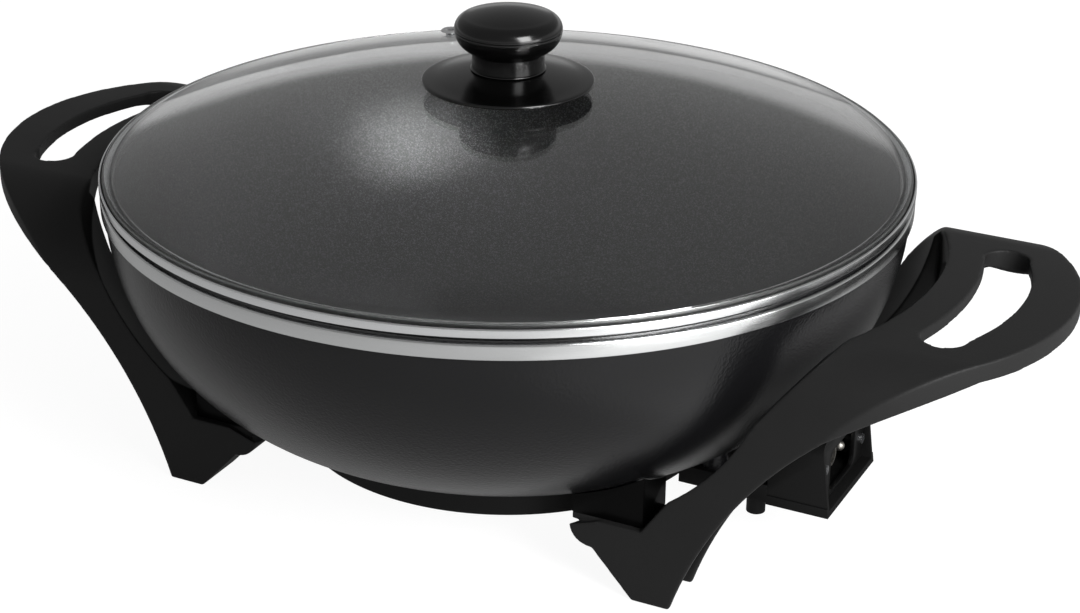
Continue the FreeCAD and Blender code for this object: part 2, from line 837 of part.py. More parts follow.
def leg_washers():
    rings = []
    for sx, sy in corners():
        x = rim_radius - lug_in
        ring = rod(washer_radius_out, x, -lug_y, shelf_bottom - washer_t, shelf_bottom)
        ring = ring.cut(rod(screw_radius + clear, x, -lug_y, shelf_bottom - washer_t - 1, shelf_bottom + 1))
        rings.append(placed(ring, sx, sy))
    return Part.makeCompound(rings)


def foot_pad():
    """Rubber plug pressed into the hollow of a foot, standing just below the moulding."""
    x0 = rim_radius - foot_inner + skin
    x1 = rim_radius - foot_outer - foot_inset - pad_wall
    lean = pad_height * pad_draft
    path = [(x0, 0), (x1, 0), (x1 + lean, pad_height), (x0 - lean, pad_height)]
    return front_prism(path, -arch_half + skin + pad_wall, -arch_half + foot_depth - pad_wall)


# --- lid ---
def glass_sphere(thickness_in):
    """Radius and centre height of the dome's sphere, its surface lowered by thickness_in."""
    edge = trim_radius - sheet - glass_flat
    radius = (edge ** 2 + dome_rise ** 2) / (2.0 * dome_rise)
    return radius - thickness_in, crown_z - radius


def dome_z(r, thickness_in):
    radius, centre = glass_sphere(thickness_in)
    return centre + math.sqrt(radius ** 2 - r ** 2)


def lid_glass():
    edge_out = trim_radius - sheet - seat_gap
    edge_in = trim_radius - sheet - glass_flat
    edge_under = ledge_radius - 2.0 * seat_gap - lip_thickness
    top = glass_top_edge
    return turned([
        (glass_bore, dome_z(glass_bore, glass)),
        ((edge_under / 2.0, dome_z(edge_under / 2.0, glass)), (edge_under, dome_z(edge_under, glass))),
        (edge_under, top - glass),
        (edge_out, top - glass),
        (edge_out, top),
        (edge_in, top),
        ((edge_in / 2.0, dome_z(edge_in / 2.0, 0)), (glass_bore, dome_z(glass_bore, 0))),
    ]).cut(vent_hole(vent_tube))


def lid_trim():
    """Rolled steel ring: flange over the glass, outer hem, web under the glass, lip into the bowl."""
    inner_wall = trim_radius - sheet
    rounded = sheet * (1.0 - edge_round)
    flange_in = trim_radius - trim_lip_inset
    lip_out = ledge_radius - seat_gap
    lip_in = lip_out - lip_thickness
    web_top = glass_top_edge - glass
    lip_bottom = ledge_z + seat_gap
    return turned([
        (trim_radius, trim_z),
        (trim_radius, trim_top - sheet),
        ((trim_radius - rounded, trim_top - rounded), (trim_radius - sheet, trim_top)),
        (flange_in, trim_top),
        (flange_in, trim_top - sheet / 2.0),
        (flange_in + sheet, glass_top_edge),
        (inner_wall, glass_top_edge),
        (inner_wall, web_top),
        (lip_in, web_top),
        (lip_in, lip_bottom),
        (lip_out, lip_bottom),
        (lip_out, web_top - sheet),
        (inner_wall, web_top - sheet),
        (inner_wall, trim_z),
    ])


def vent_place():
    return on_circle(0, 0, vent_from_axis, vent_angle)


def vent_hole(radius):
    x, y = vent_place()
    return rod(radius, x, y, rim_z, crown_z + 10)


def vent_eyelet():
    """Tubular rivet through the glass with a flange on each side."""
    x, y = vent_place()
    above = dome_z(vent_from_axis - vent_flange, 0) + vent_nip
    below = dome_z(vent_from_axis + vent_flange, glass) - vent_nip
    eyelet = rod(vent_flange, x, y, above, above + vent_plate)
    eyelet = eyelet.fuse(rod(vent_tube - vent_fit, x, y, below, above))
    eyelet = eyelet.fuse(rod(vent_lower_flange, x, y, below - vent_plate, below))
    return eyelet.cut(vent_hole(vent_bore))


# --- lid knob ---
def collar_z():
    return crown_z + collar_lift


def neck_z():
    return collar_z() + collar_cone


def flare_z():
    return neck_z() + neck_height


def crease_z():
    return flare_z() + flare_height


def hub_z():
    return crown_z + gasket_height


def knob_collar():
    """Splash collar round the foot of the knob, standing just off the glass."""
    bore = knob_screw + clear
    return turned([
        (bore, hub_z()),
        (gasket_radius, hub_z()),
        (gasket_radius + collar_draft, neck_z() - collar_web),
        (collar_radius, collar_z() - collar_edge),
        (collar_radius, collar_z()),
        (knob_neck - collar_draft, neck_z()),
        (bore, neck_z()),
    ])


def knob_body():
    """Neck and flared grip of the knob, bored for the threaded insert."""
    top = crease_z()
    swell = ((knob_neck + knob_radius) / 2.0 + flare_bulge, flare_z() + flare_height * flare_bulge_at)
    body = turned([
        (0, neck_z()),
        (knob_neck, neck_z()),
        (knob_neck, flare_z()),
        (swell, (knob_radius, top)),
        (knob_radius - cap_rim, top),
        (knob_radius - cap_rim, top - cap_depth),
        (0, top - cap_depth),
    ])
    return body.cut(rod(insert_radius, 0, 0, neck_z() - 1, neck_z() + insert_length))


def knob_cap():
    """Domed button that closes the top of the knob."""
    base = crease_z() + cap_joint
    spigot = knob_radius - cap_rim - cap_joint
    centre = base + dome_height - dome_radius
    shoulder = (dome_shoulder, centre + math.sqrt(dome_radius ** 2 - dome_shoulder ** 2))
    half = dome_shoulder / 2.0
    return turned([
        (0, base - cap_depth),
        (spigot, base - cap_depth),
        (spigot, base),
        (knob_radius, base),
        (arc_through((knob_radius, base), shoulder, -dome_bow), shoulder),
        ((half, centre + math.sqrt(dome_radius ** 2 - half ** 2)), (0, base + dome_height)),
    ])


def knob_insert():
    """Brass threaded insert in the knob."""
    top = neck_z() + insert_length - insert_inset
    insert = rod(insert_radius, 0, 0, neck_z() + insert_inset, top)
    return insert.cut(rod(knob_screw + insert_fit, 0, 0, neck_z() - 1, top - insert_floor))


def knob_gasket():
    ring = rod(gasket_radius, 0, 0, crown_z, hub_z())
    return ring.cut(rod(knob_screw + clear, 0, 0, crown_z - 1, hub_z() + 1))


def under_z():
    """Underside of the glass next to its centre hole."""
    return dome_z(washer_radius, glass)


def glass_gasket():
    ring = rod(washer_radius, 0, 0, under_z() - washer_plate, under_z())
    return ring.cut(rod(knob_screw + clear, 0, 0, under_z() - washer_plate - 1, under_z() + 1))


def knob_washer():
    top = under_z() - washer_plate
    ring = rod(washer_radius - washer_step, 0, 0, top - washer_plate, top)
    return ring.cut(rod(knob_screw + clear, 0, 0, top - washer_plate - 1, top + 1))


def knob_screw_piece():
    top = under_z() - 2.0 * washer_plate
    face = top - knob_screw_head_height
    half = knob_slot / 2.0
    head = rod(knob_screw_head, 0, 0, face, top)
    slot = box(-knob_screw_head, knob_screw_head, -half, half, face - 1, face + knob_slot)
    shank = rod(knob_screw, 0, 0, top, neck_z() + insert_length - knob_tail)
    return head.fuse(shank).cut(slot)


def build():
    handle = handle_right()
    nodes = {
        "wok_pan": wok_pan(),
        "base_ring": base_ring(),
        "base_cover": base_cover(),
        "base_cover_screws": cover_screws(),
        "heating_element": heating_element(),
        "connector_shroud": connector_shroud(),
        "shroud_screws": shroud_screws(),
        "inlet_plate": inlet_face_plate(),
        "inlet_screws": inlet_screws(),
        "terminal_pin_front": terminal_pin(-1),
        "terminal_pin_back": terminal_pin(1),
        "insulator_front": insulator(-1),
        "insulator_back": insulator(1),
        "probe_well": probe_well(),
        "earth_strip": earth_strip(),
        "handle_right": handle,
        "handle_left": mirrored_x(handle),
        "leg_screws": leg_screws(),
        "leg_washers": leg_washers(),
        "lid_glass": lid_glass(),
        "lid_trim": lid_trim(),
        "vent_eyelet": vent_eyelet(),
        "knob_collar": knob_collar(),
        "knob_body": knob_body(),
        "knob_cap": knob_cap(),
        "knob_insert": knob_insert(),
        "knob_gasket": knob_gasket(),
        "glass_gasket": glass_gasket(),
        "knob_washer": knob_washer(),
        "knob_screw": knob_screw_piece(),
    }
    names = {1: "right", -1: "left"}
    depths = {-1: "front", 1: "back"}
    for sx, sy in corners():
        label = names[sx] + "_" + depths[sy]
        nodes["bracket_" + label] = placed(bracket(), sx, sy)
        nodes["foot_pad_" + label] = placed(foot_pad(), sx, sy)
    return nodes


os.makedirs("parts", exist_ok=True)
for node, shape in build().items():
    if not shape.isValid():
        print("not valid:", node)
    shape.exportStep("parts/" + node + ".step")
    size = shape.BoundBox
    print("%-24s solids %d  z %.1f..%.1f" % (node, len(shape.Solids), size.ZMin, size.ZMax))
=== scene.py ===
import math
import bmesh
import bpy
from mathutils import Matrix, Vector


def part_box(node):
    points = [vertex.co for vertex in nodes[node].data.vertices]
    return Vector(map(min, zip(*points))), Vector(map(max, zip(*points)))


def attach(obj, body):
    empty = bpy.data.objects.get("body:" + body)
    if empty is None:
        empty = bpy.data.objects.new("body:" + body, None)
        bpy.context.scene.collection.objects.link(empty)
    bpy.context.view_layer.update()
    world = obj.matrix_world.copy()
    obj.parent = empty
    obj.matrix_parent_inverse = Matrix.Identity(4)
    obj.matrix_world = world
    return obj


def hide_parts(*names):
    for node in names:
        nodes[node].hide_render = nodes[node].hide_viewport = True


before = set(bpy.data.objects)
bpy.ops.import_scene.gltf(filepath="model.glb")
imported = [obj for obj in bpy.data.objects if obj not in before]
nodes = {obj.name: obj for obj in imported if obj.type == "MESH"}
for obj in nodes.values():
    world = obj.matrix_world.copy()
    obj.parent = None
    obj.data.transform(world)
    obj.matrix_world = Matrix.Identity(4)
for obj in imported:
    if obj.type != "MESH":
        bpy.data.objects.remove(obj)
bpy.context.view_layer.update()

# %% [markdown]
# An electric wok: a cast aluminium bowl on two moulded handle-and-leg arches, a heater under its base,
# and a domed glass lid with a knob. The engineering model is already in the scene as a fixed frame.
# This lesson gives each visible piece its real edges, walls and finish, and leaves the frame alone.

# %% [markdown]
# The real object is drawn in millimetres, and Blender works in metres, so one function turns one into the
# other. Most of the wok is turned on a lathe or pressed on a round tool. Such a piece is a profile spun
# round the upright axis, so we need a pen that draws a profile in a bmesh, and a spin.

# %% Millimetres and the pen
def mm(value):
    return value / 1000.0


def draw(start, *moves):
    """A bmesh of a profile. A move is a point (r, z), or an arc (centre_r, centre_z, degrees, steps)."""
    bm = bmesh.new()
    tip = bm.verts.new((mm(start[0]), 0, mm(start[1])))
    for move in moves:
        if len(move) == 2:
            point = bm.verts.new((mm(move[0]), 0, mm(move[1])))
            bm.edges.new((tip, point))
            tip = point
        else:
            turn = bmesh.ops.spin(bm, geom=[tip], cent=(mm(move[0]), 0, mm(move[1])), axis=(0, -1, 0),
                                  angle=math.radians(move[2]), steps=move[3])
            tip = turn["geom_last"][0]
    return bm


def ease(bm, corners, radius, steps=3):
    """Rounds the profile's corners that lie at the given (r, z) points."""
    for r, z in corners:
        spot = Vector((mm(r), 0, mm(z)))
        found = min(bm.verts, key=lambda v: (v.co - spot).length)
        bmesh.ops.bevel(bm, geom=[found], offset=mm(radius), offset_type="OFFSET", segments=steps,
                        profile=0.5, affect="VERTICES", material=-1)


# %% A finished piece from a bmesh
CRISP = math.radians(32)    # an edge that turns more than this stays a crisp line


def piece(name, bm, body, slot, *stands_for):
    """Makes the bmesh an object with smooth faces and crisp corners, on its body and over its CAD nodes."""
    for face in bm.faces:
        face.smooth = True
    for edge in bm.edges:
        edge.smooth = len(edge.link_faces) == 2 and edge.calc_face_angle(0) < CRISP
    mesh = bpy.data.meshes.new(name)
    bm.to_mesh(mesh)
    bm.free()
    made = bpy.data.objects.new(name, mesh)
    bpy.context.scene.collection.objects.link(made)
    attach(made, body)
    if stands_for:
        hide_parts(*stands_for)
    print(name, len(mesh.polygons), "faces")
    return made


def lathe(bm, steps, at=(0, 0)):
    """Spins a drawn profile to a closed solid about an upright line at (x, y)."""
    everything = bm.verts[:] + bm.edges[:]
    bmesh.ops.spin(bm, geom=everything, cent=(0, 0, 0), axis=(0, 0, 1), angle=math.tau, steps=steps,
                   use_merge=True)
    bmesh.ops.remove_doubles(bm, verts=bm.verts, dist=1e-6)
    bmesh.ops.recalc_face_normals(bm, faces=bm.faces)
    bmesh.ops.translate(bm, verts=bm.verts, vec=(mm(at[0]), mm(at[1]), 0))
    return bm


# %% [markdown]
# The bowl is cast aluminium, 4.6 mm thick. A flat base runs into one large curve up to the mouth, where a
# machined band stands 1.6 mm proud. Its lid ledge is turned just inside the mouth. We draw the wall's
# outside and inside as arcs about one centre, which keeps the wall even, and break each machined corner.

# %% The bowl's curve
FLAT = 73.912               # radius of the flat base
CURVE_Z = 136.3             # height of the centre of the side's curve
OUTER, INNER = 104.5, 99.9  # that curve's radii, outside and inside
RIM, RIM_Z = 180.0, 141.3   # outside and top of the machined band
BAND_Z, LEDGE_Z = 134.7, 139.3
LEDGE = 1.8                 # width of the seat for the lid


def lean(radius, z):
    """Degrees from straight down to the point of a curve at height z."""
    return 90 + math.degrees(math.asin((z - CURVE_Z) / radius))


def reach(radius, z):
    """Distance from the axis of that point."""
    return FLAT + math.sqrt(radius ** 2 - (z - CURVE_Z) ** 2)


LEDGE_IN = reach(INNER, LEDGE_Z)
LEDGE_OUT = LEDGE_IN + LEDGE
print("ledge", round(LEDGE_IN, 2), round(LEDGE_OUT, 2))

# %% The bowl
bowl = draw((0, CURVE_Z - OUTER), (FLAT, CURVE_Z - OUTER),
            (FLAT, CURVE_Z, lean(OUTER, BAND_Z), 40),
            (RIM, BAND_Z), (RIM, RIM_Z), (LEDGE_OUT, RIM_Z), (LEDGE_OUT, LEDGE_Z), (LEDGE_IN, LEDGE_Z),
            (FLAT, CURVE_Z, -lean(INNER, LEDGE_Z), 40), (0, CURVE_Z - INNER))
ease(bowl, [(RIM, RIM_Z)], 1.1, 5)
ease(bowl, [(LEDGE_OUT, RIM_Z)], 0.5)
ease(bowl, [(RIM, BAND_Z), (LEDGE_IN, LEDGE_Z)], 0.3)
bowl = lathe(bowl, steps=192)

# %% [markdown]
# Bosses are cast in one with the bowl: four for the legs, two for the inlet, three for the base cover, and
# a block for the probe well. Each is a cone or a cube that runs up into the wall, so bowl and boss can
# stay two closed shells of one mesh, with no boolean between them.

# %% Cast bosses
def boss(bm, x, y, low, high, radius):
    place = Matrix.Translation((mm(x), mm(y), mm(low + high) / 2))
    bmesh.ops.create_cone(bm, cap_ends=True, segments=40, radius1=mm(radius), radius2=mm(radius),
                          depth=mm(high - low), matrix=place)


def wall_z(x, y):
    """Height of the middle of the bowl's wall over a point."""
    out = math.hypot(x, y)
    half = (OUTER + INNER) / 2
    return CURVE_Z - (half if out < FLAT else math.sqrt(half ** 2 - (out - FLAT) ** 2))


LEG_X, LEG_Y = 96, 79.5     # the leg screws
INLET_X, INLET_Y = 113, 21  # the inlet's screws
COVER_R = 45                # circle of the base cover's screws
for side in (1, -1):
    for end in (1, -1):
        boss(bowl, LEG_X * side, LEG_Y * end, 36.5, wall_z(LEG_X, LEG_Y) - 2, 6.4)
    boss(bowl, INLET_X, INLET_Y * side, 31.8, wall_z(INLET_X, INLET_Y) - 1.5, 6.4)
for turn in (60, 180, 300):
    x, y = (COVER_R * math.cos(math.radians(turn)), COVER_R * math.sin(math.radians(turn)))
    boss(bowl, x, y, 23.2, wall_z(x, y), 4.4)
BLOCK_AT, BLOCK_SIZE = (122.5, 0, 42), (8.9, 12.9, 22.8)
block = Matrix.Translation([mm(v) for v in BLOCK_AT]) @ Matrix.Diagonal([mm(v) for v in BLOCK_SIZE] + [1])
bmesh.ops.create_cube(bowl, size=1, matrix=block)
wok_bowl = piece("wok_bowl", bowl, "wok_base", "coated_cast_bowl", "wok_pan")

# %% [markdown]
# The lid is tempered glass, pressed to a dome and held in a rolled stainless steel rim. From outside, the
# rim is a slim bright bead. Between it and the glass, the rim's groove wears near-black as painted shadow
# of the flange's edge. Glass and rim are separate pieces here, as they are in a factory, so light can pass
# through one and glance off the other. The glass starts 0.1 mm above the steel under it, because two faces
# in one place make dark patches.

# %% The lid's glass
TRIM_R, TRIM_Z, TRIM_TOP = 180.17, 144.0, 150.2
SHEET, GLASS = 0.8, 4.0     # thickness of the rim's steel and of the glass
GLASS_EDGE = TRIM_TOP - SHEET
FLAT_IN = TRIM_R - SHEET - 3.2
UNDER_IN = LEDGE_OUT - LEDGE
UNDER_Z = GLASS_EDGE - GLASS + 0.1
GLASS_R = TRIM_R - 1.6
RISE = 30.8                 # crown of the dome above its flat edge
DOME = (FLAT_IN ** 2 + RISE ** 2) / (2 * RISE)
CROWN_Z = GLASS_EDGE + RISE
DOME_Z = CROWN_Z - DOME


def dome_angle(r, radius):
    return math.degrees(math.asin(r / radius))


BORE = 4.5
top = dome_angle(FLAT_IN, DOME)
start = DOME_Z + math.sqrt((DOME - GLASS) ** 2 - BORE ** 2)
glass = draw((BORE, start),
             (0, DOME_Z, dome_angle(BORE, DOME - GLASS) - dome_angle(UNDER_IN, DOME - GLASS), 40),
             (UNDER_IN, UNDER_Z), (GLASS_R, UNDER_Z), (GLASS_R, GLASS_EDGE), (FLAT_IN, GLASS_EDGE),
             (0, DOME_Z, top - dome_angle(BORE, DOME), 40), (BORE, start))
ease(glass, [(GLASS_R, GLASS_EDGE)], 1.2, 7)
lid_glass = piece("lid_glass_dome", lathe(glass, steps=192), "lid", "lid_glass", "lid_glass")
print("glass dome radius", round(DOME, 1), "crown", round(CROWN_Z, 1))

# %% The lid's rim
BEAD_TOP = TRIM_TOP - 2.5
BEAD_IN = TRIM_R - 0.9
GROOVE_Z = BEAD_TOP - 0.5   # top of the groove's floor, which is painted shadow
CLEAR = 0.3                 # between the lid's lip and the bowl's ledge
LIP_OUT = LEDGE_OUT - CLEAR
LIP_IN = LIP_OUT - 1.2
LIP_Z = LEDGE_Z + CLEAR
WEB = GLASS_EDGE - GLASS
GROOVE_IN = GLASS_R + 0.02
rim = draw((TRIM_R, TRIM_Z), (TRIM_R, BEAD_TOP), (BEAD_IN, BEAD_TOP), (BEAD_IN - 0.1, GROOVE_Z),
           (GROOVE_IN, GROOVE_Z), (GROOVE_IN, WEB), (LIP_IN, WEB), (LIP_IN, LIP_Z), (LIP_OUT, LIP_Z),
           (LIP_OUT, WEB - SHEET), (TRIM_R - SHEET, WEB - SHEET), (TRIM_R - SHEET, TRIM_Z),
           (TRIM_R, TRIM_Z))
bmesh.ops.remove_doubles(rim, verts=rim.verts, dist=1e-7)
ease(rim, [(TRIM_R, BEAD_TOP)], 0.6, 5)
ease(rim, [(BEAD_IN, BEAD_TOP)], 0.2)
ease(rim, [(TRIM_R, TRIM_Z), (LIP_IN, LIP_Z), (LIP_OUT, LIP_Z)], 0.3)
lid_rim = piece("lid_rim", lathe(rim, steps=192), "lid", "lid_steel", "lid_trim")

# %% [markdown]
# The knob is three mouldings: a splash collar that keeps fingers off the hot glass, a flared grip and a
# domed button. Each is turned with the small radii that a mould leaves on every edge.

# %% The knob's collar
COLLAR_Z = CROWN_Z + 4.8
NECK_Z = COLLAR_Z + 4.6
HUB_Z = CROWN_Z + 1.3
COLLAR, COLLAR_EDGE = 38, 1.5   # the collar's radius, and the height of its rim
SCREW = 3.25                # hole for the knob's screw
CONE = (33.5, COLLAR_Z + 0.55)  # where its cone turns out to the rim
collar = draw((SCREW, HUB_Z), (12, HUB_Z), (13, NECK_Z - 2.4), (COLLAR, COLLAR_Z - COLLAR_EDGE),
              (COLLAR, COLLAR_Z), CONE, (15, NECK_Z), (SCREW, NECK_Z), (SCREW, HUB_Z))
bmesh.ops.remove_doubles(collar, verts=collar.verts, dist=1e-7)
ease(collar, [(COLLAR, COLLAR_Z - COLLAR_EDGE), (COLLAR, COLLAR_Z)], 0.6)
ease(collar, [CONE], 2.5, 5)
knob_collar = piece("knob_splash_collar", lathe(collar, steps=128), "lid", "knob_moulding", "knob_collar")

# %% The knob's grip and button
FLARE_Z = NECK_Z + 8.2
CREASE = FLARE_Z + 9.7
KNOB = 23.75
NECK, FOOT = 16, 16.6       # radius of the neck, and of the ring at its foot
SEAT = 20.75                # pocket that the button sits in
grip = draw((0, NECK_Z), (FOOT, NECK_Z), (FOOT, NECK_Z + 0.6), (NECK, NECK_Z + 0.9), (NECK, FLARE_Z),
            (13.4, FLARE_Z + 10.02, 73.7, 12), (SEAT, CREASE), (SEAT, CREASE - 2), (0, CREASE - 2))
ease(grip, [(FOOT, NECK_Z), (FOOT, NECK_Z + 0.6)], 0.25)
ease(grip, [(SEAT, CREASE)], 0.4)
ease(grip, [(NECK, FLARE_Z)], 0.8, 4)
ease(grip, [(KNOB, CREASE)], 0.35)
knob_grip = piece("knob_grip", lathe(grip, steps=128), "lid", "knob_moulding", "knob_body")

# %% The domed button on top
BASE = CREASE + 0.05
BUTTON = 60.0               # radius of its domed top
SHOULDER = 18.5             # where the dome turns down
crown = BASE + 9.1
shoulder_z = crown - BUTTON + math.sqrt(BUTTON ** 2 - SHOULDER ** 2)
button = draw((0, BASE - 2), (20.7, BASE - 2), (20.7, BASE), (KNOB, BASE), (17.52, BASE, 81, 8),
              (0, crown - BUTTON, dome_angle(SHOULDER, BUTTON), 12))
ease(button, [(KNOB, BASE)], 0.35)
ease(button, [(SHOULDER, shoulder_z)], 1.5, 5)
knob_button = piece("knob_button", lathe(button, steps=128), "lid", "knob_moulding", "knob_cap")

# %% [markdown]
# A steam vent is an eyelet: a short steel tube set through the glass and rolled over on both sides.
# Spinning a small profile of its rolled edge gives the tiny bright ring that the eye expects.

# %% The steam vent
vent_low, vent_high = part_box("vent_eyelet")
vent_x = 500 * (vent_low.x + vent_high.x)
vent_y = 500 * (vent_low.y + vent_high.y)
top_z, low_z = 1000 * vent_high.z, 1000 * vent_low.z
vent = draw((1.6, low_z), (4.2, low_z), (4.2, low_z + 0.9), (2.55, low_z + 0.9), (2.55, top_z - 0.9),
            (5, top_z - 0.9), (4.2, top_z - 0.15), (2.6, top_z), (1.6, top_z - 0.5), (1.6, low_z))
bmesh.ops.remove_doubles(vent, verts=vent.verts, dist=1e-7)
ease(vent, [(4.2, top_z - 0.15), (2.6, top_z)], 0.4)
vent = lathe(vent, steps=40, at=(vent_x, vent_y))
steam_vent = piece("steam_vent", vent, "lid", "lid_steel", "vent_eyelet")

# %% [markdown]
# The handles are the hard pieces: thin mouldings whose panels, skirts and legs run into each other with a
# radius on every edge. The frame has the right walls but sharp corners. A copy of it is skinned again with
# small even squares, and then each vertex is eased towards its neighbours, which rounds every edge as a
# mould maker does, and needs no list of edges. The flat areas don't need so many faces, so the last
# modifier keeps one in five of them, most where the surface curves.

# %% Skinning, easing and thinning out a copy
def skinned(node, square, passes, share):
    """A bmesh of a CAD node's shape in even squares of that size in mm, eased, then with fewer faces."""
    shape = nodes[node].data.copy()
    merged = bmesh.new()
    merged.from_mesh(shape)
    bmesh.ops.remove_doubles(merged, verts=merged.verts, dist=1e-6)
    merged.to_mesh(shape)
    merged.free()
    blank = bpy.data.objects.new("blank", shape)
    bpy.context.scene.collection.objects.link(blank)
    skin = blank.modifiers.new("skin", "REMESH")
    skin.mode = "VOXEL"
    skin.voxel_size = mm(square)
    soften = blank.modifiers.new("soften", "SMOOTH")
    soften.factor = 0.5
    soften.iterations = passes
    fewer = blank.modifiers.new("fewer", "DECIMATE")
    fewer.ratio = share
    bm = bmesh.new()
    bm.from_object(blank, bpy.context.evaluated_depsgraph_get())
    bpy.data.objects.remove(blank)
    return bm


# %% The right handle, and its mirror image on the left
right = skinned("handle_right", 0.5, 18, 0.2)
print("handle skin", len(right.faces), "faces")
left = right.copy()
bmesh.ops.scale(left, verts=left.verts, vec=(-1, 1, 1))
bmesh.ops.reverse_faces(left, faces=left.faces)
handle_right = piece("handle_leg_right", right, "wok_base", "handle_moulding", "handle_right")
handle_left = piece("handle_leg_left", left, "wok_base", "handle_moulding", "handle_left")

# %% [markdown]
# Small pressed and moulded parts, such as the brackets, the inlet box and the rubber feet, keep their
# frame shape. A real sheet or moulding has no knife edge, so a copy gets a narrow bevel on each sharp edge.

# %% Narrow bevels on a copy
def edged(name, node, slot, width, body="wok_base"):
    bm = bmesh.new()
    bm.from_mesh(nodes[node].data)
    bmesh.ops.remove_doubles(bm, verts=bm.verts, dist=1e-6)
    bmesh.ops.dissolve_limit(bm, angle_limit=math.radians(1), verts=bm.verts, edges=bm.edges)
    sharp = [e for e in bm.edges if len(e.link_faces) == 2 and e.calc_face_angle(0) > math.radians(35)]
    bmesh.ops.bevel(bm, geom=sharp, offset=mm(width), offset_type="OFFSET", segments=2, profile=0.5,
                    affect="EDGES", clamp_overlap=True, material=-1)
    return piece(name, bm, body, slot, node)


corners = [side + "_" + end for side in ("right", "left") for end in ("front", "back")]
brackets = [edged("bracket_box_" + c, "bracket_" + c, "bracket_paint", 0.5) for c in corners]
feet = [edged("foot_rubber_" + c, "foot_pad_" + c, "foot_rubber", 0.6) for c in corners]
inlet_box = edged("inlet_box", "connector_shroud", "base_moulding", 0.35)
inlet_face = edged("inlet_face", "inlet_plate", "inlet_moulding", 0.3)

# %% [markdown]
# Every finish below is a small graph of shader nodes. Colours are written as the screen shows them, so
# one function turns them to the linear values that light adds up in, and one adds a node with its links.

# %% Colour and node helpers
def linear(code):
    channels = [int(code[i:i + 2], 16) / 255 for i in (1, 3, 5)]
    return [c / 12.92 if c < 0.04045 else ((c + 0.055) / 1.055) ** 2.4 for c in channels] + [1.0]


def add(tree, kind, sockets=(), **settings):
    """Adds a node. sockets holds (name or index, value or another node's output)."""
    made = tree.nodes.new(kind)
    for key, value in settings.items():
        setattr(made, key, value)
    for name, value in sockets:
        if isinstance(value, bpy.types.NodeSocket):
            tree.links.new(value, made.inputs[name])
        else:
            made.inputs[name].default_value = value
    return made


def material(name, colour, roughness, **more):
    """A Principled material, its tree, its shader and a source of Object coordinates."""
    made = bpy.data.materials.new(name)
    made.use_nodes = True
    tree = made.node_tree
    shader = tree.nodes["Principled BSDF"]
    shader.inputs["Base Color"].default_value = linear(colour)
    shader.inputs["Roughness"].default_value = roughness
    for key, value in more.items():
        shader.inputs[key.replace("_", " ")].default_value = value
    place = add(tree, "ShaderNodeTexCoord").outputs["Object"]
    return made, tree, shader, place


def tinted(tree, shader, amount, first, second):
    """The base colour goes from the first colour to the second with the amount."""
    tint = add(tree, "ShaderNodeMix", [(0, amount), (6, linear(first)), (7, linear(second))],
               data_type="RGBA")
    tree.links.new(tint.outputs[2], shader.inputs["Base Color"])


def bumped(tree, shader, height, strength, depth):
    """Bends the light as a relief of that depth in mm would."""
    relief = add(tree, "ShaderNodeBump", [("Height", height), ("Strength", strength),
                                          ("Distance", mm(depth))])
    tree.links.new(relief.outputs["Normal"], shader.inputs["Normal"])


def spread(tree, shader, amount, low, high):
    """Lets the roughness run from low to high with the amount."""
    made = add(tree, "ShaderNodeMapRange", [("Value", amount), ("To Min", low), ("To Max", high)])
    tree.links.new(made.outputs[0], shader.inputs["Roughness"])


def wear(*chosen):
    """Gives each (piece, material) its material."""
    for thing, finish in chosen:
        thing.data.materials.clear()
        thing.data.materials.append(finish)


# %% [markdown]
# The bowl's outside is a sprayed non-stick coating (PTFE) on cast aluminium. Cured thick, it dries to a
# leathery pebble about 1.2 mm across. The eye reads it from the broken edge of each highlight, so the
# pebble is a bump, and the colour only varies a little.

# %% Pebbled coating
def pebbled(name, dark, pale, cell, height):
    made, tree, shader, place = material(name, dark, 0.22, Specular_IOR_Level=0.25)
    cells = add(tree, "ShaderNodeTexVoronoi", [("Vector", place), ("Scale", 1000 / cell),
                                               ("Smoothness", 0.6)], feature="SMOOTH_F1")
    grain = add(tree, "ShaderNodeTexNoise", [("Vector", place), ("Scale", 1000 / (cell * 0.6)),
                                             ("Detail", 3.0)])
    clouds = add(tree, "ShaderNodeTexNoise", [("Vector", place), ("Scale", 18.0), ("Detail", 2.0)])
    tinted(tree, shader, clouds.outputs["Fac"], dark, pale)
    bumps = add(tree, "ShaderNodeMath", [(0, cells.outputs["Distance"]), (1, grain.outputs["Fac"])])
    bumped(tree, shader, bumps.outputs[0], 0.5, height)
    return made


coat_outside = pebbled("ptfe_coating_pebbled", "#0a0a0b", "#0f0f10", 1.2, 0.15)

# %% [markdown]
# Inside, the same coating is sprayed thin over a grit-blasted wall and carries mica flakes, which sparkle
# in a highlight. A flake is a small cell: a few of them get a paler, glossier look and their own tilt.

# %% Coating with mica flakes
def flaked(name, dark, flake, size):
    made, tree, shader, place = material(name, dark, 0.3)
    cells = add(tree, "ShaderNodeTexVoronoi", [("Vector", place), ("Scale", 1000 / size)], feature="F1")
    pick = add(tree, "ShaderNodeSeparateColor", [("Color", cells.outputs["Color"])])
    bright = add(tree, "ShaderNodeMapRange", [("Value", pick.outputs[0]), ("From Min", 0.6),
                                              ("From Max", 1.0)])
    tinted(tree, shader, bright.outputs[0], dark, flake)
    tree.links.new(bright.outputs[0], shader.inputs["Metallic"])
    spread(tree, shader, pick.outputs[1], 0.4, 0.28)
    bumped(tree, shader, pick.outputs[2], 0.2, 0.12)
    return made


coat_inside = flaked("ptfe_coating_mica", "#0e0e0f", "#6a6b6d", 0.45)

# %% [markdown]
# The rim band is the casting's own aluminium, turned on a lathe, and the lid's rim is stainless steel that
# was rolled and polished. Both carry fine rings round the axis. A real cut is 0.1 mm wide, too fine to see
# from a step away, so the rings are about 0.5 mm apart, as streaks in roughness and in the relief. Each
# highlight is drawn out across the rings, which is the shader's anisotropy, turned a quarter.

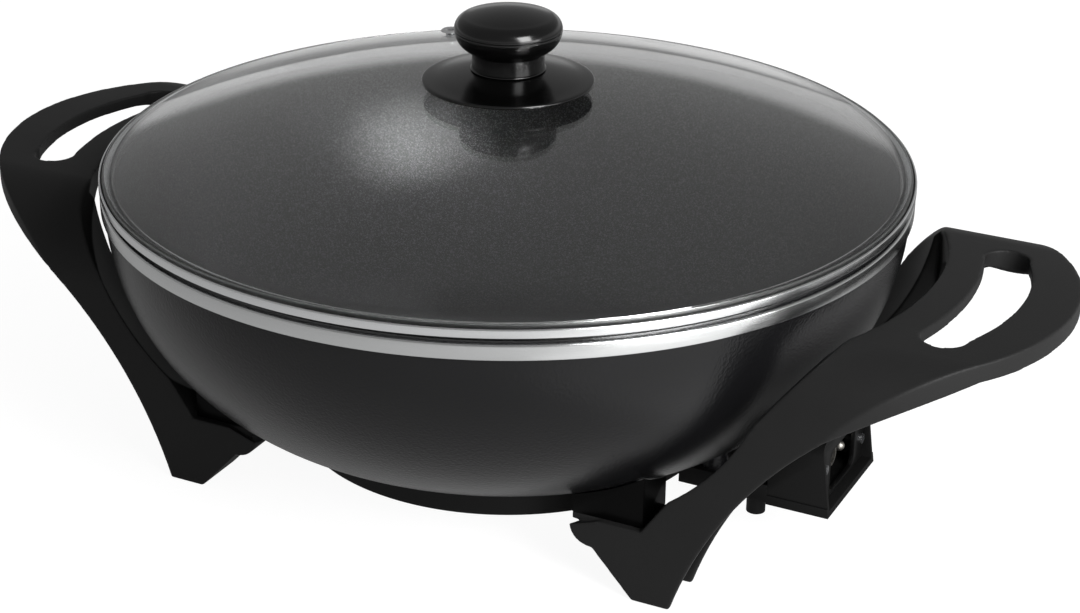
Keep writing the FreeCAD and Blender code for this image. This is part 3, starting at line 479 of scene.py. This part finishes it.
# %% Turned and rolled metal
def ringed(name, colour, roughness, pitch, strength):
    made, tree, shader, place = material(name, colour, roughness, Metallic=1.0, Anisotropic=0.8,
                                         Anisotropic_Rotation=0.25)
    around = add(tree, "ShaderNodeTangent", direction_type="RADIAL", axis="Z")
    tree.links.new(around.outputs["Tangent"], shader.inputs["Tangent"])
    along = add(tree, "ShaderNodeVectorMath", [(0, place), (1, (0.02, 0.02, 1.0))], operation="MULTIPLY")
    rings = add(tree, "ShaderNodeTexNoise", [("Vector", along.outputs[0]), ("Scale", 1000 / pitch),
                                             ("Detail", 2.0)])
    spread(tree, shader, rings.outputs["Fac"], roughness - 0.07, roughness + 0.1)
    bumped(tree, shader, rings.outputs["Fac"], strength, 0.05)
    return made


band_metal = ringed("turned_aluminium", "#c8c9c9", 0.2, 0.5, 0.2)
rim_metal = ringed("rolled_stainless_steel", "#dadbdc", 0.2, 0.7, 0.2)

# %% [markdown]
# The handles and the base are black phenolic resin and PPS, pressed in spark-etched moulds. That
# leaves a matt grain of 0.7 mm on the handles and a soft sheen. The knob is the same phenolic out of a
# polished mould, so it is glossier, with a grain too shallow to see.

# %% Moulded plastics
def moulded(name, dark, pale, roughness, grain, height, **more):
    made, tree, shader, place = material(name, dark, roughness, **more)
    fine = add(tree, "ShaderNodeTexNoise", [("Vector", place), ("Scale", 1000 / grain), ("Detail", 4.0)])
    clouds = add(tree, "ShaderNodeTexNoise", [("Vector", place), ("Scale", 25.0), ("Detail", 3.0)])
    tinted(tree, shader, clouds.outputs["Fac"], dark, pale)
    spread(tree, shader, clouds.outputs["Fac"], roughness - 0.05, roughness + 0.07)
    bumped(tree, shader, fine.outputs["Fac"], 0.4, height)
    return made


handle_black = moulded("phenolic_spark_grain", "#181818", "#1c1c1c", 0.5, 0.7, 0.12,
                       Specular_IOR_Level=0.14)
base_black = moulded("pps_moulding", "#080808", "#0b0b0b", 0.45, 1.0, 0.08, Specular_IOR_Level=0.15)
inlet_black = moulded("nylon_moulding", "#070707", "#090909", 0.35, 1.2, 0.05, Specular_IOR_Level=0.25)
knob_black = moulded("phenolic_polished", "#030303", "#050505", 0.17, 2.5, 0.03,
                     Specular_IOR_Level=0.4)
enamel = moulded("baked_enamel_on_steel", "#040404", "#060606", 0.3, 3.0, 0.04, Specular_IOR_Level=0.05)
rubber = moulded("nitrile_rubber", "#141414", "#191919", 0.7, 0.9, 0.1)
# Painted shadow: near-black for the rim's groove beside the glass, where the flange's edge casts its shade.
painted_shadow_black = moulded("groove_painted_shadow", "#060606", "#080808", 0.5, 1.5, 0.04, Specular_IOR_Level=0.2)
silicone = moulded("silicone_rubber", "#9a9b9b", "#a5a6a6", 0.55, 1.5, 0.04)

# %% [markdown]
# The rest is hidden or small: zinc plated screws, a nickel plated inlet, glazed ceramic beads, a steel
# cover and the heater's sheath, which has been red hot and is now straw and grey. Each still gets the
# variation that its making left.

# %% Small metal, ceramic and glass
def plated(name, colour, stain, roughness, spot):
    made, tree, shader, place = material(name, colour, roughness, Metallic=1.0)
    clouds = add(tree, "ShaderNodeTexNoise", [("Vector", place), ("Scale", 1000 / spot), ("Detail", 3.0)])
    tinted(tree, shader, clouds.outputs["Fac"], colour, stain)
    spread(tree, shader, clouds.outputs["Fac"], roughness - 0.06, roughness + 0.12)
    return made


zinc = plated("zinc_plated_steel", "#c9cacc", "#a9abad", 0.25, 3.0)
nickel = plated("nickel_plate", "#a5a39e", "#8d8a84", 0.35, 4.0)
sheet_steel = plated("galvanised_sheet", "#a3a5a7", "#85878a", 0.35, 9.0)
sheath = plated("heat_stained_sheath", "#6b655c", "#4b4d55", 0.38, 7.0)
brass = plated("turned_brass", "#c79f4e", "#b08a41", 0.25, 3.0)
ceramic = moulded("glazed_steatite", "#e6e1d6", "#ddd7ca", 0.15, 2.0, 0.03)

# %% [markdown]
# Tempered soda-lime glass has an index of 1.52 and a faint green in its depth, and its pressed surface
# is a little wavy, which the reflections show.

# %% Glass
clear, tree, shader, place = material("tempered_glass", "#fafbfb", 0.0, IOR=1.52, Transmission_Weight=1.0)
waves = add(tree, "ShaderNodeTexNoise", [("Vector", place), ("Scale", 22.0), ("Detail", 1.0)])
bumped(tree, shader, waves.outputs["Fac"], 0.15, 0.2)
print(clear.name, "index", round(shader.inputs["IOR"].default_value, 2))

# %% Each piece wears its finish
wear((lid_glass, clear), (lid_rim, rim_metal), (steam_vent, rim_metal), (knob_collar, knob_black),
     (knob_grip, knob_black), (knob_button, knob_black), (handle_right, handle_black),
     (handle_left, handle_black), (inlet_box, base_black), (inlet_face, inlet_black))
wear(*[(b, enamel) for b in brackets], *[(f, rubber) for f in feet])
carried = {"base_ring": base_black, "base_cover": sheet_steel, "base_cover_screws": zinc,
           "heating_element": sheath, "shroud_screws": zinc, "inlet_screws": zinc,
           "terminal_pin_front": nickel, "terminal_pin_back": nickel, "insulator_front": ceramic,
           "insulator_back": ceramic, "probe_well": nickel, "earth_strip": nickel, "leg_screws": zinc,
           "leg_washers": zinc, "knob_insert": brass, "knob_gasket": silicone, "glass_gasket": silicone,
           "knob_washer": zinc, "knob_screw": zinc, "wok_pan": coat_outside}
for node, finish in carried.items():
    wear((nodes[node], finish))
print(len(carried), "frame pieces carried over with a finish")

# %% [markdown]
# Two pieces wear more than one finish. The glass's edge is ground dull before tempering, and beside it the
# rim wears near-black, as painted shadow of its flange's edge. The bowl is coated outside, flecked inside,
# and bare metal on its band, except the inner part of the band's top, which keeps the dark coat as painted
# shade under the lid's rim. A mesh carries several materials, and each face holds the number of its own.

# %% The glass's ground edge, and the painted shadow beside it
GROUND = 0.9                # width of the ground edge
MARGIN = 0.5                # room round a border, so that rounding leaves no face on the wrong side
edge_glass, tree, shader, place = material("ground_glass_edge", "#b4b7b6", 0.38, IOR=1.52,
                                           Transmission_Weight=1.0)
grit = add(tree, "ShaderNodeTexNoise", [("Vector", place), ("Scale", 2500.0), ("Detail", 2.0)])
bumped(tree, shader, grit.outputs["Fac"], 0.3, 0.1)
lid_glass.data.materials.append(edge_glass)
for face in lid_glass.data.polygons:
    if math.hypot(face.center.x, face.center.y) * 1000 > GLASS_R - GROUND:
        face.material_index = 1
lid_rim.data.materials.append(painted_shadow_black)
# Painted shadow: the rim's faces between the glass and the bead are near-black, the shade of the flange's
# edge.
for face in lid_rim.data.polygons:
    out = math.hypot(face.center.x, face.center.y) * 1000
    if GLASS_R + 0.1 < out < BEAD_IN and face.center.z * 1000 > WEB + MARGIN:
        face.material_index = 1
print(sum(face.material_index for face in lid_rim.data.polygons), "faces of painted shadow")

# %% The bowl's three finishes
BARE_BEFORE_PAINTED_SHADE = 1.2             # the bare metal reaches this far in from the band's outside
wear((wok_bowl, coat_outside))
wok_bowl.data.materials.append(coat_inside)
wok_bowl.data.materials.append(band_metal)
for face in wok_bowl.data.polygons:
    spot = face.center
    out = math.hypot(spot.x, spot.y) * 1000
    towards_axis = face.normal.x * spot.x + face.normal.y * spot.y < -0.002 * out / 1000
    inside = out < LEDGE_IN and spot.z * 1000 > CURVE_Z - INNER - MARGIN
    # Painted shade: only the outer part of the band's top is bare metal; further in it keeps the dark coat,
    # which stands for the shadow under the lid's rim.
    if spot.z * 1000 > BAND_Z - MARGIN and out > RIM - BARE_BEFORE_PAINTED_SHADE:
        face.material_index = 2
    elif inside and (towards_axis or face.normal.z > 0.9):
        face.material_index = 1
worn = [face.material_index for face in wok_bowl.data.polygons]
print("bowl faces: outside", worn.count(0), "inside", worn.count(1), "band", worn.count(2))

# %% [markdown]
# Last, the studio: a pale floor, a dim room whose walls are white low down, two soft panels on the right,
# and a camera at a long focal length, which keeps the bowl's ellipse calm. Black pieces need this: they
# show little but reflections, so a dim ceiling keeps them black and the low white walls draw the lid's
# edge. To the camera, and through the glass, the room is plain white.

# %% The room
RISING = (-0.12, 0, 1)      # the line where the white ends rises to the right
WHITE_TO, DIM_FROM = 0.14, 0.23
WHITE, DIM = 0.72, 0.3
world = bpy.data.worlds.new("white_room")
bpy.context.scene.world = world
world.use_nodes = True
room = world.node_tree
sky = room.nodes["Background"]
aim = add(room, "ShaderNodeTexCoord").outputs["Generated"]
height = add(room, "ShaderNodeVectorMath", [(0, aim), (1, RISING)], operation="DOT_PRODUCT")
wall = add(room, "ShaderNodeMapRange", [("Value", height.outputs["Value"]), ("From Min", WHITE_TO),
                                        ("From Max", DIM_FROM), ("To Min", WHITE), ("To Max", DIM)],
           interpolation_type="SMOOTHSTEP")
path = add(room, "ShaderNodeLightPath")


def combine(tree, first, second, operation="MULTIPLY"):
    """One value from two values or outputs."""
    return add(tree, "ShaderNodeMath", [(0, first), (1, second)], operation=operation).outputs[0]


bounced = combine(room, path.outputs["Diffuse Depth"], path.outputs["Glossy Depth"], "ADD")
direct = combine(room, bounced, 0.5, "LESS_THAN")
through = combine(room, path.outputs["Is Transmission Ray"], direct)
seen = combine(room, path.outputs["Is Camera Ray"], through, "MAXIMUM")
room.links.new(combine(room, seen, wall.outputs[0], "MAXIMUM"), sky.inputs["Strength"])
sky.inputs["Color"].default_value = (1, 1, 1, 1)
print(world.name, len(room.nodes), "nodes")

# %% [markdown]
# The floor is pale paper. It glows a little for the camera, so it is as white as the room and still takes
# the wok's shadow. Metal and glass show that floor too, each kind of reflection with a share of the glow:
# a mirror sees more of it on the right, and a glossy coat sees a painted pool of light in front, on the
# right, where the key lamp lights the paper. Behind it, a painted shadow of dark grey, seen only in glossy
# reflections, stands for the shade under the right handle and keeps the black pieces near it black. No
# share of the glow passes white.

# %% The floor
floor_bm = bmesh.new()
bmesh.ops.create_grid(floor_bm, x_segments=1, y_segments=1, size=6)
floor_mesh = bpy.data.meshes.new("floor")
floor_bm.to_mesh(floor_mesh)
floor_bm.free()
floor = bpy.data.objects.new("floor", floor_mesh)
bpy.context.scene.collection.objects.link(floor)
paper = bpy.data.materials.new("white_paper")
paper.use_nodes = True
paper_tree = paper.node_tree
matt = paper_tree.nodes["Principled BSDF"]
matt.inputs["Roughness"].default_value = 0.9
floor_mesh.materials.append(paper)
print(floor.name, [round(side, 1) for side in floor.dimensions], "m")

# %% How each kind of ray sees the paper
GLOW = 1.5                  # strength of the whole glow, of which every ray sees a share
CAMERA_SHARE = 0.62
PAINTED_POOL_SHARE, PLAIN_SHARE = 0.66, 0.1
MIRROR_SHARES = (0.1, 0.4)  # far left, and from near the wok to the right
PAPER, PAINTED_SHADOW_GREY = "#b4b4b4", "#202020"
view = add(paper_tree, "ShaderNodeLightPath")
glow = add(paper_tree, "ShaderNodeEmission", [("Strength", GLOW)])
place = add(paper_tree, "ShaderNodeSeparateXYZ",
            [("Vector", add(paper_tree, "ShaderNodeTexCoord").outputs["Object"])])
X, Y = place.outputs["X"], place.outputs["Y"]


def ramp(value, start, end, low, high):
    """Goes smoothly from low to high between two places, in metres."""
    made = add(paper_tree, "ShaderNodeMapRange", [("Value", value), ("From Min", start), ("From Max", end),
                                                  ("To Min", low), ("To Max", high)],
               interpolation_type="SMOOTHSTEP")
    return made.outputs[0]


# Painted light: a pool of glow on the paper in front, on the right, seen only by glossy rays, where the key
# lamp would light the floor.
painted_light_pool = combine(paper_tree, ramp(X, 0.15, 0.22, 0, 1), ramp(Y, -0.35, -0.3, 0, PAINTED_POOL_SHARE))
painted_light_pool = combine(paper_tree, painted_light_pool, ramp(Y, -0.06, -0.03, 1, 0))
painted_light_pool = combine(paper_tree, painted_light_pool, PLAIN_SHARE, "MAXIMUM")
# Painted shadow: behind that pool the paper turns dark grey for glossy rays, the shade under the right
# handle.
painted_shadow_zone = combine(paper_tree, ramp(X, 0.08, 0.14, 0, 1), ramp(X, 0.26, 0.32, 1, 0))
painted_shadow_zone = combine(paper_tree, painted_shadow_zone, ramp(Y, -0.06, 0.0, 0, 1))
painted_shadow_zone = combine(paper_tree, painted_shadow_zone, view.outputs["Is Glossy Ray"])
tinted(paper_tree, matt, painted_shadow_zone, PAPER, PAINTED_SHADOW_GREY)
lift = combine(paper_tree, view.outputs["Is Camera Ray"], CAMERA_SHARE)
shine = combine(paper_tree, view.outputs["Is Glossy Ray"], painted_light_pool)
mirror = combine(paper_tree, view.outputs["Is Singular Ray"], ramp(X, -1.2, -0.2, *MIRROR_SHARES))
share = combine(paper_tree, combine(paper_tree, lift, shine, "MAXIMUM"), mirror, "MAXIMUM")
mix = add(paper_tree, "ShaderNodeMixShader", [(0, share), (1, matt.outputs[0]), (2, glow.outputs[0])])
paper_tree.links.new(mix.outputs[0], paper_tree.nodes["Material Output"].inputs["Surface"])
print("glow for the camera", round(GLOW * CAMERA_SHARE, 2), "and a glossy coat", round(GLOW * PAINTED_POOL_SHARE, 2))

# %% Soft panels
def panel(name, at, aim, size, watts):
    light = bpy.data.lights.new(name, "AREA")
    light.shape = "RECTANGLE"
    light.size, light.size_y = size
    light.energy = watts
    made = bpy.data.objects.new(name, light)
    made.location = at
    made.rotation_euler = (Vector(aim) - Vector(at)).to_track_quat("-Z", "Y").to_euler()
    bpy.context.scene.collection.objects.link(made)
    return made


MIDDLE = (0, 0, 0.1)
lights = [panel("key_right", (1.036, -0.528, 0.76), MIDDLE, (0.55, 0.8), 25),
          panel("strip_right", (1.03, -0.32, 0.2), MIDDLE, (0.84, 0.3), 5)]
print("panels", [(light.name, light.data.energy) for light in lights], "W")

# %% Camera
TARGET = (0, 0, 0.0749)     # what it looks at
ROLL = 0.307                # degrees that it leans to one side
camera = bpy.data.cameras.new("camera")
camera.sensor_width = 36
camera.lens = 80.05
camera.shift_x, camera.shift_y = 0.0306, -0.0007
eye = bpy.data.objects.new("camera", camera)
eye.location = (0.4522, -0.8897, 0.5349)
look = (Vector(TARGET) - eye.location).to_track_quat("-Z", "Y")
eye.rotation_euler = (look.to_matrix() @ Matrix.Rotation(math.radians(ROLL), 3, "Z")).to_euler()
bpy.context.scene.collection.objects.link(eye)
bpy.context.scene.camera = eye
print("camera", round(camera.lens, 1), "mm at", round(eye.location.length, 2), "m")
bpy.context.scene.view_settings.view_transform = "Standard"
